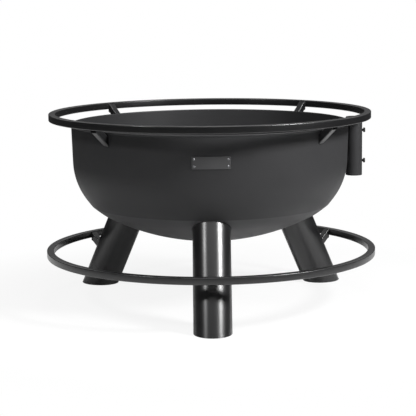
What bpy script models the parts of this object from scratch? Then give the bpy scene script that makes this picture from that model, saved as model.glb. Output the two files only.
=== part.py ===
"""Fire bowl: a dished steel bowl on three splayed legs, with a hand rail, a foot rail and a pole socket.

Run with: blender --background --python part.py
Units are metres and +Z is up. Each shape is built round the bowl's upright axis, and an azimuth is 0 at
the side with the name plate, which faces -Y, and grows towards +X. Last of all, the whole is moved so that
the origin is on the floor under the middle of the part's bounding box.
"""
from math import asin, atan2, cos, pi, radians, sin, sqrt, tan

import bmesh
import bpy
from mathutils import Matrix, Vector

# Clearances
SEAT = 0.0003
SCREW_CLEARANCE = 0.0002
CUT_MARGIN = 0.02

# Fineness: sides of round shapes and points on arcs
ROUND_STEPS = 72
LEG_STEPS = 48
SOCKET_STEPS = 32
SCREW_STEPS = 16
RIVET_STEPS = 12
DOME_STEPS = 3
KNUCKLE_STEPS = 9
CROWN_STEPS = 5
CORNER_STEPS = 2
SMOOTH_ANGLE = radians(35)
WELD_DISTANCE = 0.00001
TURN_MERGE_DISTANCE = 0.00005

# Bowl: a slightly tapered skirt, a knuckle arc and a crown arc, each tangent to the next
RIM_HEIGHT = 0.528
BOWL_RADIUS = 0.4025
BOWL_WALL = 0.003
SKIRT_HEIGHT = 0.113
SKIRT_TAPER = radians(1.7)
KNUCKLE_RADIUS = 0.185
CROWN_RADIUS = 0.650
HEM_HEIGHT = 0.005
HEM_PROUD = 0.0015

# Square tube of the rails and the struts
TUBE_SIZE = 0.020
TUBE_WALL = 0.002
TUBE_CORNER = 0.0025

# Pole socket, which stands against the rim and ends just under the upper rail
SOCKET_AZIMUTH = radians(96.7)
SOCKET_DIAMETER = 0.0483
SOCKET_WALL = 0.004
SOCKET_ABOVE_RIM = 0.0045
SOCKET_LENGTH = 0.173

# Clamp screws in the socket's outer wall
SCREW_DIAMETER = 0.008
SCREW_LENGTH = 0.016
SCREW_HEAD_FLATS = 0.013
SCREW_HEAD_HEIGHT = 0.0053
SCREW_HEAD_GAP = 0.0032
UPPER_SCREW_BELOW_TOP = 0.040
SCREW_SPACING = 0.090
HEXAGON_SIDES = 6

# Upper rail and its struts
UPPER_RAIL_FROM_RIM = 0.043
UPPER_RAIL_ABOVE_RIM = 0.030
UPPER_STRUT_AZIMUTHS = {
    "front_left": radians(-45),
    "front_right": radians(49),
    "rear_right": radians(139),
    "rear_left": radians(-137),
}

# Lower rail
LOWER_RAIL_TOP = 0.160
LOWER_RAIL_FROM_LEG = 0.0471

# Struts of both rails
STRUT_SLOPE = radians(43)
STRUT_BELOW_RAIL_TOP = 0.001

# Legs
LEG_DIAMETER = 0.105
LEG_WALL = 0.003
LEG_SPLAY = radians(27.5)
LEG_FOOT_BEYOND_BOWL = 0.0355
REAR_LEG_AZIMUTH = radians(127.7)
LEG_AZIMUTHS = {"front": 0.0, "rear_right": REAR_LEG_AZIMUTH, "rear_left": -REAR_LEG_AZIMUTH}

# Name plate and rivets
PLATE_ARC = radians(15)
PLATE_STEPS = 6
PLATE_HEIGHT = 0.034
PLATE_BELOW_RIM = 0.0565
PLATE_THICKNESS = 0.0015
RIVET_DIAMETER = 0.0032
RIVET_HEAD_DIAMETER = 0.0064
RIVET_HEAD_HEIGHT = 0.0016
RIVET_FROM_END = radians(0.95)
RIVET_FROM_EDGE = 0.0075

# Materials: colour, roughness and metallic
MATERIALS = {
    "black_heat_resistant_paint": ((0.020, 0.020, 0.021, 1.0), 0.42, 0.55),
    "blackened_steel": ((0.012, 0.012, 0.013, 1.0), 0.38, 0.80),
    "painted_plate": ((0.070, 0.070, 0.072, 1.0), 0.45, 0.50),
    "rivet_steel": ((0.180, 0.180, 0.185, 1.0), 0.35, 0.90),
}
PAINT, SCREW_STEEL, PLATE_STEEL, RIVET_STEEL = MATERIALS

PIECES = "fire_bowl"
CUTTERS = "cutters"
ACROSS_X = Vector((1.0, 0.0, 0.0))
ACROSS_Y = Vector((0.0, 1.0, 0.0))
UP = Vector((0.0, 0.0, 1.0))

# Sizes that follow from the ones above
SKIRT_BOTTOM = RIM_HEIGHT - SKIRT_HEIGHT
RIM_OUTER_RADIUS = BOWL_RADIUS + HEM_PROUD
SOCKET_AXIS_RADIUS = RIM_OUTER_RADIUS + SEAT + SOCKET_DIAMETER / 2
UPPER_RAIL_INNER_RADIUS = RIM_OUTER_RADIUS + UPPER_RAIL_FROM_RIM
UPPER_RAIL_RADIUS = UPPER_RAIL_INNER_RADIUS + TUBE_SIZE
UPPER_RAIL_TOP = RIM_HEIGHT + UPPER_RAIL_ABOVE_RIM
SOCKET_TOP = RIM_HEIGHT + SOCKET_ABOVE_RIM
LEG_FOOT_RADIUS = BOWL_RADIUS + LEG_FOOT_BEYOND_BOWL
FOOT_REACH = LEG_FOOT_RADIUS + LEG_DIAMETER / 2 / cos(LEG_SPLAY)
LEG_REACH_AT_LOWER_RAIL = FOOT_REACH - LOWER_RAIL_TOP * tan(LEG_SPLAY)
LOWER_RAIL_INNER_RADIUS = LEG_REACH_AT_LOWER_RAIL + LOWER_RAIL_FROM_LEG
LOWER_RAIL_RADIUS = LOWER_RAIL_INNER_RADIUS + TUBE_SIZE
SCREW_HEIGHTS = {
    "upper": SOCKET_TOP - UPPER_SCREW_BELOW_TOP,
    "lower": SOCKET_TOP - UPPER_SCREW_BELOW_TOP - SCREW_SPACING,
}
PLATE_TOP = RIM_HEIGHT - PLATE_BELOW_RIM
PLATE_BOTTOM = PLATE_TOP - PLATE_HEIGHT

# The front foot reaches further than the lower rail does at the rear
BOWL_AXIS_Y = (FOOT_REACH - LOWER_RAIL_RADIUS) / 2


def clear_scene():
    for old in list(bpy.data.objects):
        bpy.data.objects.remove(old, do_unlink=True)
    for name in (PIECES, CUTTERS):
        bpy.context.scene.collection.children.link(bpy.data.collections.new(name))


def make_materials():
    for name, (colour, roughness, metallic) in MATERIALS.items():
        material = bpy.data.materials.new(name)
        material.use_nodes = True
        shader = material.node_tree.nodes["Principled BSDF"]
        shader.inputs["Base Color"].default_value = colour
        shader.inputs["Roughness"].default_value = roughness
        shader.inputs["Metallic"].default_value = metallic
        material.diffuse_color = colour


def add_piece(name, mesh, material):
    mesh.materials.append(bpy.data.materials[material])
    piece = bpy.data.objects.new(name, mesh)
    bpy.data.collections[PIECES].objects.link(piece)
    return piece


def add_cutter(name, mesh):
    """Helper for Booleans, which is not part of the object."""
    cutter = bpy.data.objects.new(name, mesh)
    cutter.hide_render = True
    cutter.display_type = "WIRE"
    bpy.data.collections[CUTTERS].objects.link(cutter)
    return cutter


def combine(piece, operation, *others):
    for other in others:
        boolean = piece.modifiers.new(other.name, "BOOLEAN")
        boolean.operation = operation
        boolean.object = other


def profile_mesh(name, points, closed=False):
    """Mesh of edges through (radius, height) points in the XZ plane."""
    mesh = bpy.data.meshes.new(name)
    edges = [(i, i + 1) for i in range(len(points) - 1)]
    if closed:
        edges.append((len(points) - 1, 0))
    mesh.from_pydata([(radius, 0.0, height) for radius, height in points], edges, [])
    return mesh


def turn(piece, steps=ROUND_STEPS, angle=2 * pi):
    """Turns a piece's profile, which runs down its outer side, about Z."""
    screw = piece.modifiers.new("turn", "SCREW")
    screw.axis = "Z"
    screw.angle = angle
    screw.steps = steps
    screw.render_steps = steps
    screw.use_merge_vertices = True
    screw.merge_threshold = TURN_MERGE_DISTANCE
    screw.use_smooth_shade = True
    return piece


def arc_points(centre, radius, start, end, count):
    """Points on an arc about centre, from the start to the end angle, ends included."""
    angles = [start + (end - start) * i / count for i in range(count + 1)]
    return [(centre[0] + radius * cos(a), centre[1] + radius * sin(a)) for a in angles]


def circle(radius, steps):
    return [(radius * cos(2 * pi * i / steps), radius * sin(2 * pi * i / steps)) for i in range(steps)]


def rounded_square(size, corner, corner_steps):
    """Outline of a square tube's section about the origin, anticlockwise."""
    inner = size / 2 - corner
    points = []
    for quarter, (x, y) in enumerate(((inner, inner), (-inner, inner), (-inner, -inner), (inner, -inner))):
        start = quarter * pi / 2
        points += arc_points((x, y), corner, start, start + pi / 2, corner_steps)
    return points


def extruded_mesh(name, outlines, length):
    """Prism along Z, from 0 to length, of flat outlines in which an inner one is a hole."""
    curve = bpy.data.curves.new(name, "CURVE")
    curve.dimensions = "2D"
    curve.fill_mode = "BOTH"
    curve.extrude = length / 2
    for outline in outlines:
        spline = curve.splines.new("POLY")
        spline.points.add(len(outline) - 1)
        for point, (x, y) in zip(spline.points, outline):
            point.co = (x, y, 0.0, 1.0)
        spline.use_cyclic_u = True
    holder = bpy.data.objects.new(name, curve)
    bpy.context.scene.collection.objects.link(holder)
    evaluated = holder.evaluated_get(bpy.context.evaluated_depsgraph_get())
    mesh = bpy.data.meshes.new_from_object(evaluated)
    bpy.data.objects.remove(holder)
    bpy.data.curves.remove(curve)
    mesh.name = name
    body = bmesh.new()
    body.from_mesh(mesh)
    bmesh.ops.remove_doubles(body, verts=body.verts, dist=WELD_DISTANCE)
    bmesh.ops.recalc_face_normals(body, faces=body.faces)
    bmesh.ops.translate(body, verts=body.verts, vec=(0.0, 0.0, length / 2))
    body.to_mesh(mesh)
    body.free()
    mesh.shade_smooth()
    mesh.set_sharp_from_angle(angle=SMOOTH_ANGLE)
    return mesh


def outward(azimuth):
    """Level unit vector that points away from the bowl's axis at an azimuth."""
    return Vector((sin(azimuth), -cos(azimuth), 0.0))


def placement(origin, along, side):
    """Places a shape so that its Z runs along one direction and its Y along a side square to that."""
    z = along.normalized()
    y = side.normalized()
    rotation = Matrix((y.cross(z), y, z)).transposed().to_4x4()
    return Matrix.Translation(origin) @ rotation


def bowl_arcs():
    """Centres of the outer surface's arcs and the angle at which the knuckle meets the crown."""
    skirt_bottom_radius = BOWL_RADIUS - SKIRT_HEIGHT * tan(SKIRT_TAPER)
    knuckle = (
        skirt_bottom_radius - KNUCKLE_RADIUS * cos(SKIRT_TAPER),
        SKIRT_BOTTOM + KNUCKLE_RADIUS * sin(SKIRT_TAPER),
    )
    rise = sqrt((CROWN_RADIUS - KNUCKLE_RADIUS) ** 2 - knuckle[0] ** 2)
    crown = (0.0, knuckle[1] + rise)
    return knuckle, crown, atan2(-rise, knuckle[0])


def bowl_surface(offset):
    """Profile of the shell from the rim down to the axis, moved outwards by an offset."""
    knuckle, crown, meeting = bowl_arcs()
    top = (BOWL_RADIUS + offset / cos(SKIRT_TAPER), RIM_HEIGHT)
    side = arc_points(knuckle, KNUCKLE_RADIUS + offset, -SKIRT_TAPER, meeting, KNUCKLE_STEPS)
    base = arc_points(crown, CROWN_RADIUS + offset, meeting, -pi / 2, CROWN_STEPS)
    base[-1] = (0.0, base[-1][1])
    return [top] + side + base[1:]


def skirt_radius(height):
    """Outer radius of the tapered skirt at a height."""
    return BOWL_RADIUS - (RIM_HEIGHT - height) * tan(SKIRT_TAPER)


def build_bowl():
    """The shell, whose rim is folded into a small hem."""
    inside = list(reversed(bowl_surface(-BOWL_WALL)))
    outside = bowl_surface(0.0)
    hem_bottom = RIM_HEIGHT - HEM_HEIGHT
    hem = [
        (BOWL_RADIUS, RIM_HEIGHT),
        (RIM_OUTER_RADIUS, RIM_HEIGHT - HEM_PROUD),
        (RIM_OUTER_RADIUS, hem_bottom + HEM_PROUD),
        (skirt_radius(hem_bottom), hem_bottom),
    ]
    turn(add_piece("bowl", profile_mesh("bowl", inside + hem + outside[1:]), PAINT))


def build_bowl_space():
    """The space that the bowl fills and encloses, a seat's width larger, up past both rails."""
    surface = bowl_surface(SEAT)
    top = (surface[0][0], UPPER_RAIL_TOP + CUT_MARGIN)
    profile = [(0.0, top[1]), top] + surface
    return turn(add_cutter("bowl_space", profile_mesh("bowl_space", profile)))


def build_rail(name, radius, top):
    """Square tube bent to a closed ring. Its bore has no way in, so the ring is solid."""
    across = radius - TUBE_SIZE / 2
    middle = top - TUBE_SIZE / 2
    outline = reversed(rounded_square(TUBE_SIZE, TUBE_CORNER, CORNER_STEPS))
    section = [(across + x, middle + z) for x, z in outline]
    turn(add_piece(name, profile_mesh(name, section, closed=True), PAINT))


def build_rail_space(name, inner_radius, top):
    """Everything outside a rail's inner face, a seat's width nearer to the axis."""
    inner = inner_radius - SEAT
    outer = inner_radius + TUBE_SIZE + CUT_MARGIN
    high = top + CUT_MARGIN
    low = top - 2 * TUBE_SIZE - CUT_MARGIN
    profile = [(inner, high), (outer, high), (outer, low), (inner, low)]
    return turn(add_cutter(name, profile_mesh(name, profile, closed=True)))


def build_floor_space():
    """The space under the floor, where the legs' slanting ends are cut level."""
    reach = FOOT_REACH + CUT_MARGIN
    square = [(reach, reach), (-reach, reach), (-reach, -reach), (reach, -reach)]
    floor = add_cutter("floor_space", extruded_mesh("floor_space", [square], 2 * LEG_DIAMETER))
    floor.location.z = -2 * LEG_DIAMETER
    return floor


def build_leg(place, azimuth, bowl_space, floor_space):
    """Tube from below the floor into the bowl, cut by both. Gives the space to which its strut is coped."""
    out = outward(azimuth)
    up = UP * cos(LEG_SPLAY) - out * sin(LEG_SPLAY)
    below = LEG_DIAMETER * tan(LEG_SPLAY)
    where = placement(out * LEG_FOOT_RADIUS - up * below, up, up.cross(out))
    length = below + SKIRT_BOTTOM / cos(LEG_SPLAY)
    outlines = [circle(LEG_DIAMETER / 2, LEG_STEPS), circle(LEG_DIAMETER / 2 - LEG_WALL, LEG_STEPS)]
    leg = add_piece("leg_" + place, extruded_mesh("leg_" + place, outlines, length), PAINT)
    leg.matrix_world = where
    combine(leg, "DIFFERENCE", floor_space, bowl_space)
    round_leg = extruded_mesh("leg_space_" + place, [circle(LEG_DIAMETER / 2 + SEAT, LEG_STEPS)], length)
    leg_space = add_cutter("leg_space_" + place, round_leg)
    leg_space.matrix_world = where
    return leg_space


def build_strut(name, azimuth, rail_inner_radius, rail_top, reach, *spaces):
    """Square tube that slopes down and inwards from a rail's inner face and is coped at both ends."""
    out = outward(azimuth)
    down = -UP * sin(STRUT_SLOPE) - out * cos(STRUT_SLOPE)
    middle = rail_top - STRUT_BELOW_RAIL_TOP - TUBE_SIZE / 2 / cos(STRUT_SLOPE)
    start = out * rail_inner_radius + UP * middle
    outlines = [
        rounded_square(TUBE_SIZE, TUBE_CORNER, CORNER_STEPS),
        rounded_square(TUBE_SIZE - 2 * TUBE_WALL, TUBE_CORNER - TUBE_WALL, 1),
    ]
    length = reach / cos(STRUT_SLOPE) + 2 * TUBE_SIZE
    strut = add_piece(name, extruded_mesh(name, outlines, length), PAINT)
    strut.matrix_world = placement(start - down * TUBE_SIZE, down, UP.cross(out))
    combine(strut, "DIFFERENCE", *spaces)


def build_upper_struts(bowl_space):
    rail_space = build_rail_space("upper_rail_space", UPPER_RAIL_INNER_RADIUS, UPPER_RAIL_TOP)
    reach = UPPER_RAIL_INNER_RADIUS - BOWL_RADIUS
    for place, azimuth in UPPER_STRUT_AZIMUTHS.items():
        build_strut("upper_strut_" + place, azimuth, UPPER_RAIL_INNER_RADIUS, UPPER_RAIL_TOP, reach,
                    rail_space, bowl_space)


def build_legs_and_lower_struts(bowl_space):
    """Each leg with the strut that ties it to the lower rail."""
    floor_space = build_floor_space()
    rail_space = build_rail_space("lower_rail_space", LOWER_RAIL_INNER_RADIUS, LOWER_RAIL_TOP)
    for place, azimuth in LEG_AZIMUTHS.items():
        leg_space = build_leg(place, azimuth, bowl_space, floor_space)
        build_strut("lower_strut_" + place, azimuth, LOWER_RAIL_INNER_RADIUS, LOWER_RAIL_TOP,
                    LOWER_RAIL_FROM_LEG, rail_space, leg_space)


def build_socket():
    """Upright tube with a hole through the wall on its +X side for each clamp screw."""
    axis = outward(SOCKET_AZIMUTH) * SOCKET_AXIS_RADIUS
    radius = SOCKET_DIAMETER / 2
    outlines = [circle(radius, SOCKET_STEPS), circle(radius - SOCKET_WALL, SOCKET_STEPS)]
    socket = add_piece("pole_socket", extruded_mesh("pole_socket", outlines, SOCKET_LENGTH), PAINT)
    socket.location = axis + UP * (SOCKET_TOP - SOCKET_LENGTH)
    hole_outline = circle(SCREW_DIAMETER / 2 + SCREW_CLEARANCE, SCREW_STEPS)
    for place, height in SCREW_HEIGHTS.items():
        hole = add_cutter("screw_hole_" + place, extruded_mesh("screw_hole", [hole_outline], SOCKET_DIAMETER))
        hole.matrix_world = placement(axis + UP * height, ACROSS_X, ACROSS_Y)
        combine(socket, "DIFFERENCE", hole)


def build_clamp_screws():
    """Hexagon screws that run in and out along X, each with its origin at the middle of its head's seat."""
    axis = outward(SOCKET_AZIMUTH) * SOCKET_AXIS_RADIUS
    seat = axis + ACROSS_X * (SOCKET_DIAMETER / 2 + SCREW_HEAD_GAP)
    head_outline = circle(SCREW_HEAD_FLATS / 2 / cos(pi / HEXAGON_SIDES), HEXAGON_SIDES)
    shank_length = SCREW_LENGTH + SCREW_HEAD_HEIGHT / 2
    for place, height in SCREW_HEIGHTS.items():
        name = "clamp_screw_" + place
        where = placement(seat + UP * height, ACROSS_X, ACROSS_Y)
        screw = add_piece(name, extruded_mesh(name, [head_outline], SCREW_HEAD_HEIGHT), SCREW_STEEL)
        screw.matrix_world = where
        round_shank = extruded_mesh("shank", [circle(SCREW_DIAMETER / 2, SCREW_STEPS)], shank_length)
        shank = add_cutter("shank_" + place, round_shank)
        shank.matrix_world = where @ Matrix.Translation(-UP * SCREW_LENGTH)
        combine(screw, "UNION", shank)


def build_name_plate():
    """Thin bare plate bent to the skirt."""
    line = [(skirt_radius(z) + SEAT / cos(SKIRT_TAPER), z) for z in (PLATE_TOP, PLATE_BOTTOM)]
    plate = add_piece("name_plate", profile_mesh("name_plate", line), PLATE_STEEL)
    turn(plate, steps=PLATE_STEPS, angle=PLATE_ARC)
    plate.rotation_euler.z = -pi / 2 - PLATE_ARC / 2
    shell = plate.modifiers.new("thickness", "SOLIDIFY")
    shell.thickness = PLATE_THICKNESS
    shell.offset = 1.0
    return plate


def rivet_places():
    """Name, azimuth and height of each rivet."""
    azimuth = PLATE_ARC / 2 - RIVET_FROM_END
    top = PLATE_TOP - RIVET_FROM_EDGE
    bottom = PLATE_BOTTOM + RIVET_FROM_EDGE
    return [(level + "_" + side, sign * azimuth, height)
            for level, height in (("top", top), ("bottom", bottom))
            for side, sign in (("left", -1), ("right", 1))]


def rivet_profile():
    """Domed head and shank of a rivet, whose axis is square to the skirt and starts on it."""
    head_radius = RIVET_HEAD_DIAMETER / 2
    shank_radius = RIVET_DIAMETER / 2
    head_seat = PLATE_THICKNESS + 2 * SEAT
    dome_radius = (head_radius ** 2 + RIVET_HEAD_HEIGHT ** 2) / (2 * RIVET_HEAD_HEIGHT)
    centre = head_seat + RIVET_HEAD_HEIGHT - dome_radius
    edge = pi / 2 - asin(head_radius / dome_radius)
    dome = arc_points((0.0, centre), dome_radius, pi / 2, edge, DOME_STEPS)
    return [(0.0, dome[0][1])] + dome[1:] + [(shank_radius, head_seat), (shank_radius, SEAT), (0.0, SEAT)]


def build_rivets(plate):
    """Round-head rivets through holes in the plate."""
    profile = rivet_profile()
    hole_outline = circle(RIVET_DIAMETER / 2 + SCREW_CLEARANCE, RIVET_STEPS)
    hole_mesh = extruded_mesh("rivet_hole", [hole_outline], 2 * (BOWL_WALL + PLATE_THICKNESS))
    for place, azimuth, height in rivet_places():
        out = outward(azimuth)
        square_out = out * cos(SKIRT_TAPER) - UP * sin(SKIRT_TAPER)
        where = placement(out * skirt_radius(height) + UP * height, square_out, square_out.cross(UP))
        rivet = add_piece("plate_rivet_" + place, profile_mesh("rivet", profile), RIVET_STEEL)
        rivet.matrix_world = where
        turn(rivet, steps=RIVET_STEPS)
        hole = add_cutter("rivet_hole_" + place, hole_mesh)
        hole.matrix_world = where @ Matrix.Translation(-UP * BOWL_WALL)
        combine(plate, "DIFFERENCE", hole)


def centre_on_origin():
    """Hangs every object on an empty that stands where the bowl's axis belongs."""
    axis = bpy.data.objects.new("bowl_axis", None)
    axis.hide_render = True
    axis.location.y = BOWL_AXIS_Y
    bpy.context.scene.collection.objects.link(axis)
    for name in (PIECES, CUTTERS):
        for piece in bpy.data.collections[name].objects:
            piece.parent = axis


def main():
    clear_scene()
    make_materials()
    bowl_space = build_bowl_space()
    build_bowl()
    build_rail("upper_rail", UPPER_RAIL_RADIUS, UPPER_RAIL_TOP)
    build_upper_struts(bowl_space)
    build_rail("lower_rail", LOWER_RAIL_RADIUS, LOWER_RAIL_TOP)
    build_legs_and_lower_struts(bowl_space)
    build_socket()
    build_clamp_screws()
    build_rivets(build_name_plate())
    centre_on_origin()


main()
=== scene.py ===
"""Fire bowl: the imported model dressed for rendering, laid out as a Blender add-on.

Units are metres. The bowl's upright axis stands at AXIS. An azimuth is 0 at the side with the name plate,
which faces -Y, and grows towards +X.
"""
from math import atan2, cos, pi, radians, sin, sqrt, tan

import bmesh
import bpy
import numpy as np
from mathutils import Matrix, Vector


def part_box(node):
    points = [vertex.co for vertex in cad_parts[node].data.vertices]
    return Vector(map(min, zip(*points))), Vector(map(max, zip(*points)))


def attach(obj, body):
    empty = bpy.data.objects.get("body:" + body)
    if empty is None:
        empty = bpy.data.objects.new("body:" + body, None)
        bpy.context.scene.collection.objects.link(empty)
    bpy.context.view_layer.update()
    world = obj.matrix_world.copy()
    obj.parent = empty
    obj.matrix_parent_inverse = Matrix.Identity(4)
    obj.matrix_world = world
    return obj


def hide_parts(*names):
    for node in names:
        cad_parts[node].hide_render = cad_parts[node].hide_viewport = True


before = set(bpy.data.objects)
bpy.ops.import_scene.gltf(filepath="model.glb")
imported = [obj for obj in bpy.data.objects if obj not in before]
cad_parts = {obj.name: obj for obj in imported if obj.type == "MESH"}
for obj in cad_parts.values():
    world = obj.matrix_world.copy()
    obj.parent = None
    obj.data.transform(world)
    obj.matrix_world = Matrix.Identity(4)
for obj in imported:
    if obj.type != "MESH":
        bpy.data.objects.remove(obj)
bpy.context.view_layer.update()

bl_info = {
    "name": "Fire bowl",
    "version": (1, 0, 0),
    "blender": (4, 5, 0),
    "location": "View3D > Sidebar > Fire bowl",
    "description": "Dresses the packed fire bowl with fine surfaces, weld beads, paints and a studio",
    "category": "Object",
}

# Where the bowl's axis stands, from the rail that goes round it
RAIL_LOW, RAIL_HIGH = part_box("upper_rail")
AXIS = np.array([(RAIL_LOW.x + RAIL_HIGH.x) / 2, (RAIL_LOW.y + RAIL_HIGH.y) / 2, 0.0])
UP = np.array([0.0, 0.0, 1.0])
ACROSS_X = np.array([1.0, 0.0, 0.0])
ACROSS_Y = np.array([0.0, 1.0, 0.0])

# Bowl, and the seam at which its dished bottom is welded on
RIM_HEIGHT = 0.528
BOWL_RADIUS = 0.4025
BOWL_WALL = 0.003
SKIRT_BOTTOM = RIM_HEIGHT - 0.113
SKIRT_TAPER = radians(1.7)
KNUCKLE_RADIUS = 0.185
CROWN_RADIUS = 0.650
HEM_HEIGHT = 0.005
HEM_PROUD = 0.0015
SEAM_HEIGHT = 0.291
SEAM_PROUD = 0.0016
SEAM_SPREAD = 0.012

# Rails and struts
TUBE_SIZE = 0.020
TUBE_WALL = 0.002
RAIL_EASE = 0.00002
UPPER_RAIL_INNER_RADIUS = 0.447
UPPER_RAIL_TOP = RAIL_HIGH.z
UPPER_RAIL_SEAM = radians(186)
LOWER_RAIL_INNER_RADIUS = 0.461
LOWER_RAIL_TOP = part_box("lower_rail")[1].z
LOWER_RAIL_SEAM = radians(171)
RAIL_SEAM_SWELL = 0.03
RAIL_SEAM_SPREAD = 0.0025
RAIL_SEAM_REACH = 0.006
STRUT_SLOPE = radians(43)
STRUT_BELOW_RAIL_TOP = 0.001
STRUT_BROKEN_EDGE = 0.0002
UPPER_STRUT_AZIMUTHS = {"front_left": -45, "front_right": 49, "rear_right": 139, "rear_left": -137}

# Distances along a strut from the rail's face: in the open, in the rail, and in what it runs to
STRUT_IN_OPEN = 0.03
STRUT_IN_RAIL = -0.03
STRUT_PAST_END = 0.12

# Legs
LEG_RADIUS = 0.0525
LEG_WALL = 0.003
LEG_SPLAY = radians(27.5)
LEG_FOOT_RADIUS = 0.438
LEG_AZIMUTHS = {"front": 0.0, "rear_right": 127.7, "rear_left": -127.7}
PIPE_BROKEN_EDGE = 0.0006

# Distances up a leg from the floor: in the open, under the floor, and in the bowl
LEG_IN_OPEN = 0.1
LEG_UNDER_FLOOR = -0.1
LEG_IN_BOWL = 0.45

# Weld beads, in parts of their radius: least size, ripple, and slow waves as (height, number, phase)
BEAD_LEAST = 0.88
BEAD_RIPPLE = 0.16
BEAD_WAVES = ((0.05, 3, 0.0), (0.03, 7, 1.0))
BEAD_BELOW_RAIL_TOP = 0.0002

# Pole socket and clamp screws
SOCKET_AZIMUTH = radians(96.7)
SOCKET_RADIUS = 0.02415
SOCKET_WALL = 0.004
SOCKET_AXIS_RADIUS = 0.42845
SOCKET_BOTTOM, SOCKET_TOP = (corner.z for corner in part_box("pole_socket"))
SOCKET_WELD_BESIDE = 0.008
SOCKET_WELD_BELOW_RIM = 0.016
SOCKET_WELD_OVER_RIM = 0.001
SCREW_RADIUS = 0.004
SCREW_LENGTH = 0.016
SCREW_HEAD_FLATS = 0.013
SCREW_HEAD_HEIGHT = 0.0053
SCREW_HEAD_GAP = 0.0032
SCREW_HEIGHTS = {"upper": 0.4925, "lower": 0.4025}
WASHER_FACE_RADIUS = SCREW_HEAD_FLATS / 2 * 0.96
WASHER_FACE_THICKNESS = 0.0004
END_FACE_RADIUS = SCREW_HEAD_FLATS / 2 * 0.94
HEAD_CHAMFER = radians(30)
SHANK_IN_HEAD = 0.0006
THREAD_DEPTH_IN_PITCHES = 0.54

# Name plate and rivets
PLATE_ARC = radians(15)
PLATE_TOP = RIM_HEIGHT - 0.0565
PLATE_HEIGHT = 0.034
PLATE_THICKNESS = 0.0015
PLATE_OFF_SKIN = 0.0003
PLATE_BROKEN_EDGE = 0.0004
RIVET_HEAD_RADIUS = 0.0032
RIVET_HEAD_HEIGHT = 0.0016
RIVET_FOOT_RADIUS = RIVET_HEAD_RADIUS * 0.97
RIVET_FROM_END = radians(0.95)
RIVET_FROM_EDGE = 0.0075

# How finely the surfaces are made
SKIRT_POINTS = 12
KNUCKLE_POINTS = 40
CROWN_POINTS = 24
SEAM_DISTANCES = (0.0004, 0.0012, 0.0025, 0.0045, 0.0075, 0.012, 0.018, 0.026)
BOWL_STEPS = 288
RAIL_STEPS = 360
RAIL_SEAM_STEPS = 17
CORNER_STEPS = 6
TUBE_ROWS = 14
STRUT_STEPS = 96
LEG_STEPS = 160
LEG_ROWS = 24
SOCKET_STEPS = 96
BEAD_SIDES = 10
BEAD_STEPS_PER_RIPPLE = 7
BEAD_FEWEST_RIPPLES = 3
HEAD_STEPS = 96
THREAD_STEPS = 48
THREAD_ROWS_PER_PITCH = 8
PLATE_STEPS = 240
PLATE_ROWS = 9
RIVET_STEPS = 40
RIVET_POINTS = 9
MERGE_DISTANCE = 0.000001
BISECTIONS = 40
SHARP_EDGE = radians(38)
SCREW_SHARP_EDGE = radians(25)

# Coats: size of their clouds, the values that the clouds' noise keeps to, and how sharply the painted light
# under a given height sets in
CLOUD_SIZE = 0.090
CLOUD_LOW = 0.3
CLOUD_HIGH = 0.7
PAINTED_LIGHT_EDGE = 0.001

# Camera, as fitted to the view
CAMERA_PLACE = np.array([-0.02807, -4.3, 0.93495])
CAMERA_YAW = -0.00474
CAMERA_PITCH = 0.15295
CAMERA_ROLL = -0.01055
CAMERA_LENS_MM = 128.18
SENSOR_MM = 36.0

# Soft boxes: azimuth and elevation in degrees, distance, width, height, and the name of the power setting
LAMP_AIM_HEIGHT = 0.3
LAMPS = {
    "soft_box_key": (57, 33, 3.0, 0.65, 0.55, "key_power"),
    "soft_box_fill": (-49, 34, 3.0, 0.30, 0.40, "fill_power"),
    "soft_panel_front": (0, 50, 3.0, 2.2, 1.4, "panel_power"),
    "soft_box_top": (20, 80, 2.8, 1.6, 1.2, "top_power"),
}

# Floor, and how far behind and above a reflected ray points where the white backdrop fades in
FLOOR_REACH = 60.0
PAPER_EDGE = 0.4
BACKDROP_BEHIND = (0.3, 0.7)
BACKDROP_ABOVE = (0.2, 0.5)


def linear(code):
    """Linear colour of an sRGB hex code, by the standard's curve."""
    parts = np.array([int(code[i:i + 2], 16) for i in (0, 2, 4)]) / 255
    return tuple(np.where(parts <= 0.04045, parts / 12.92, ((parts + 0.055) / 1.055) ** 2.4))


class FireBowlSizes(bpy.types.PropertyGroup):
    """Sizes of the details that the scene adds to the model."""

    tube_corner: bpy.props.FloatProperty(
        name="Tube corner", description="Outer corner radius of the square tube",
        default=0.0025, min=0.0005, max=0.004, unit="LENGTH")
    leg_weld: bpy.props.FloatProperty(
        name="Leg weld", description="Radius of the weld bead between a leg and the bowl",
        default=0.0020, min=0.001, max=0.008, unit="LENGTH")
    strut_weld: bpy.props.FloatProperty(
        name="Strut weld", description="Radius of the weld beads at the struts' ends and the socket",
        default=0.0015, min=0.001, max=0.006, unit="LENGTH")
    weld_pitch: bpy.props.FloatProperty(
        name="Weld pitch", description="Distance from one ripple of a weld bead to the next",
        default=0.0030, min=0.001, max=0.008, unit="LENGTH")
    plate_corner: bpy.props.FloatProperty(
        name="Plate corner", description="Corner radius of the name plate",
        default=0.0022, min=0.0005, max=0.01, unit="LENGTH")
    thread_pitch: bpy.props.FloatProperty(
        name="Thread pitch", description="Pitch of the clamp screws' thread",
        default=0.00125, min=0.0005, max=0.002, unit="LENGTH")


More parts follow.
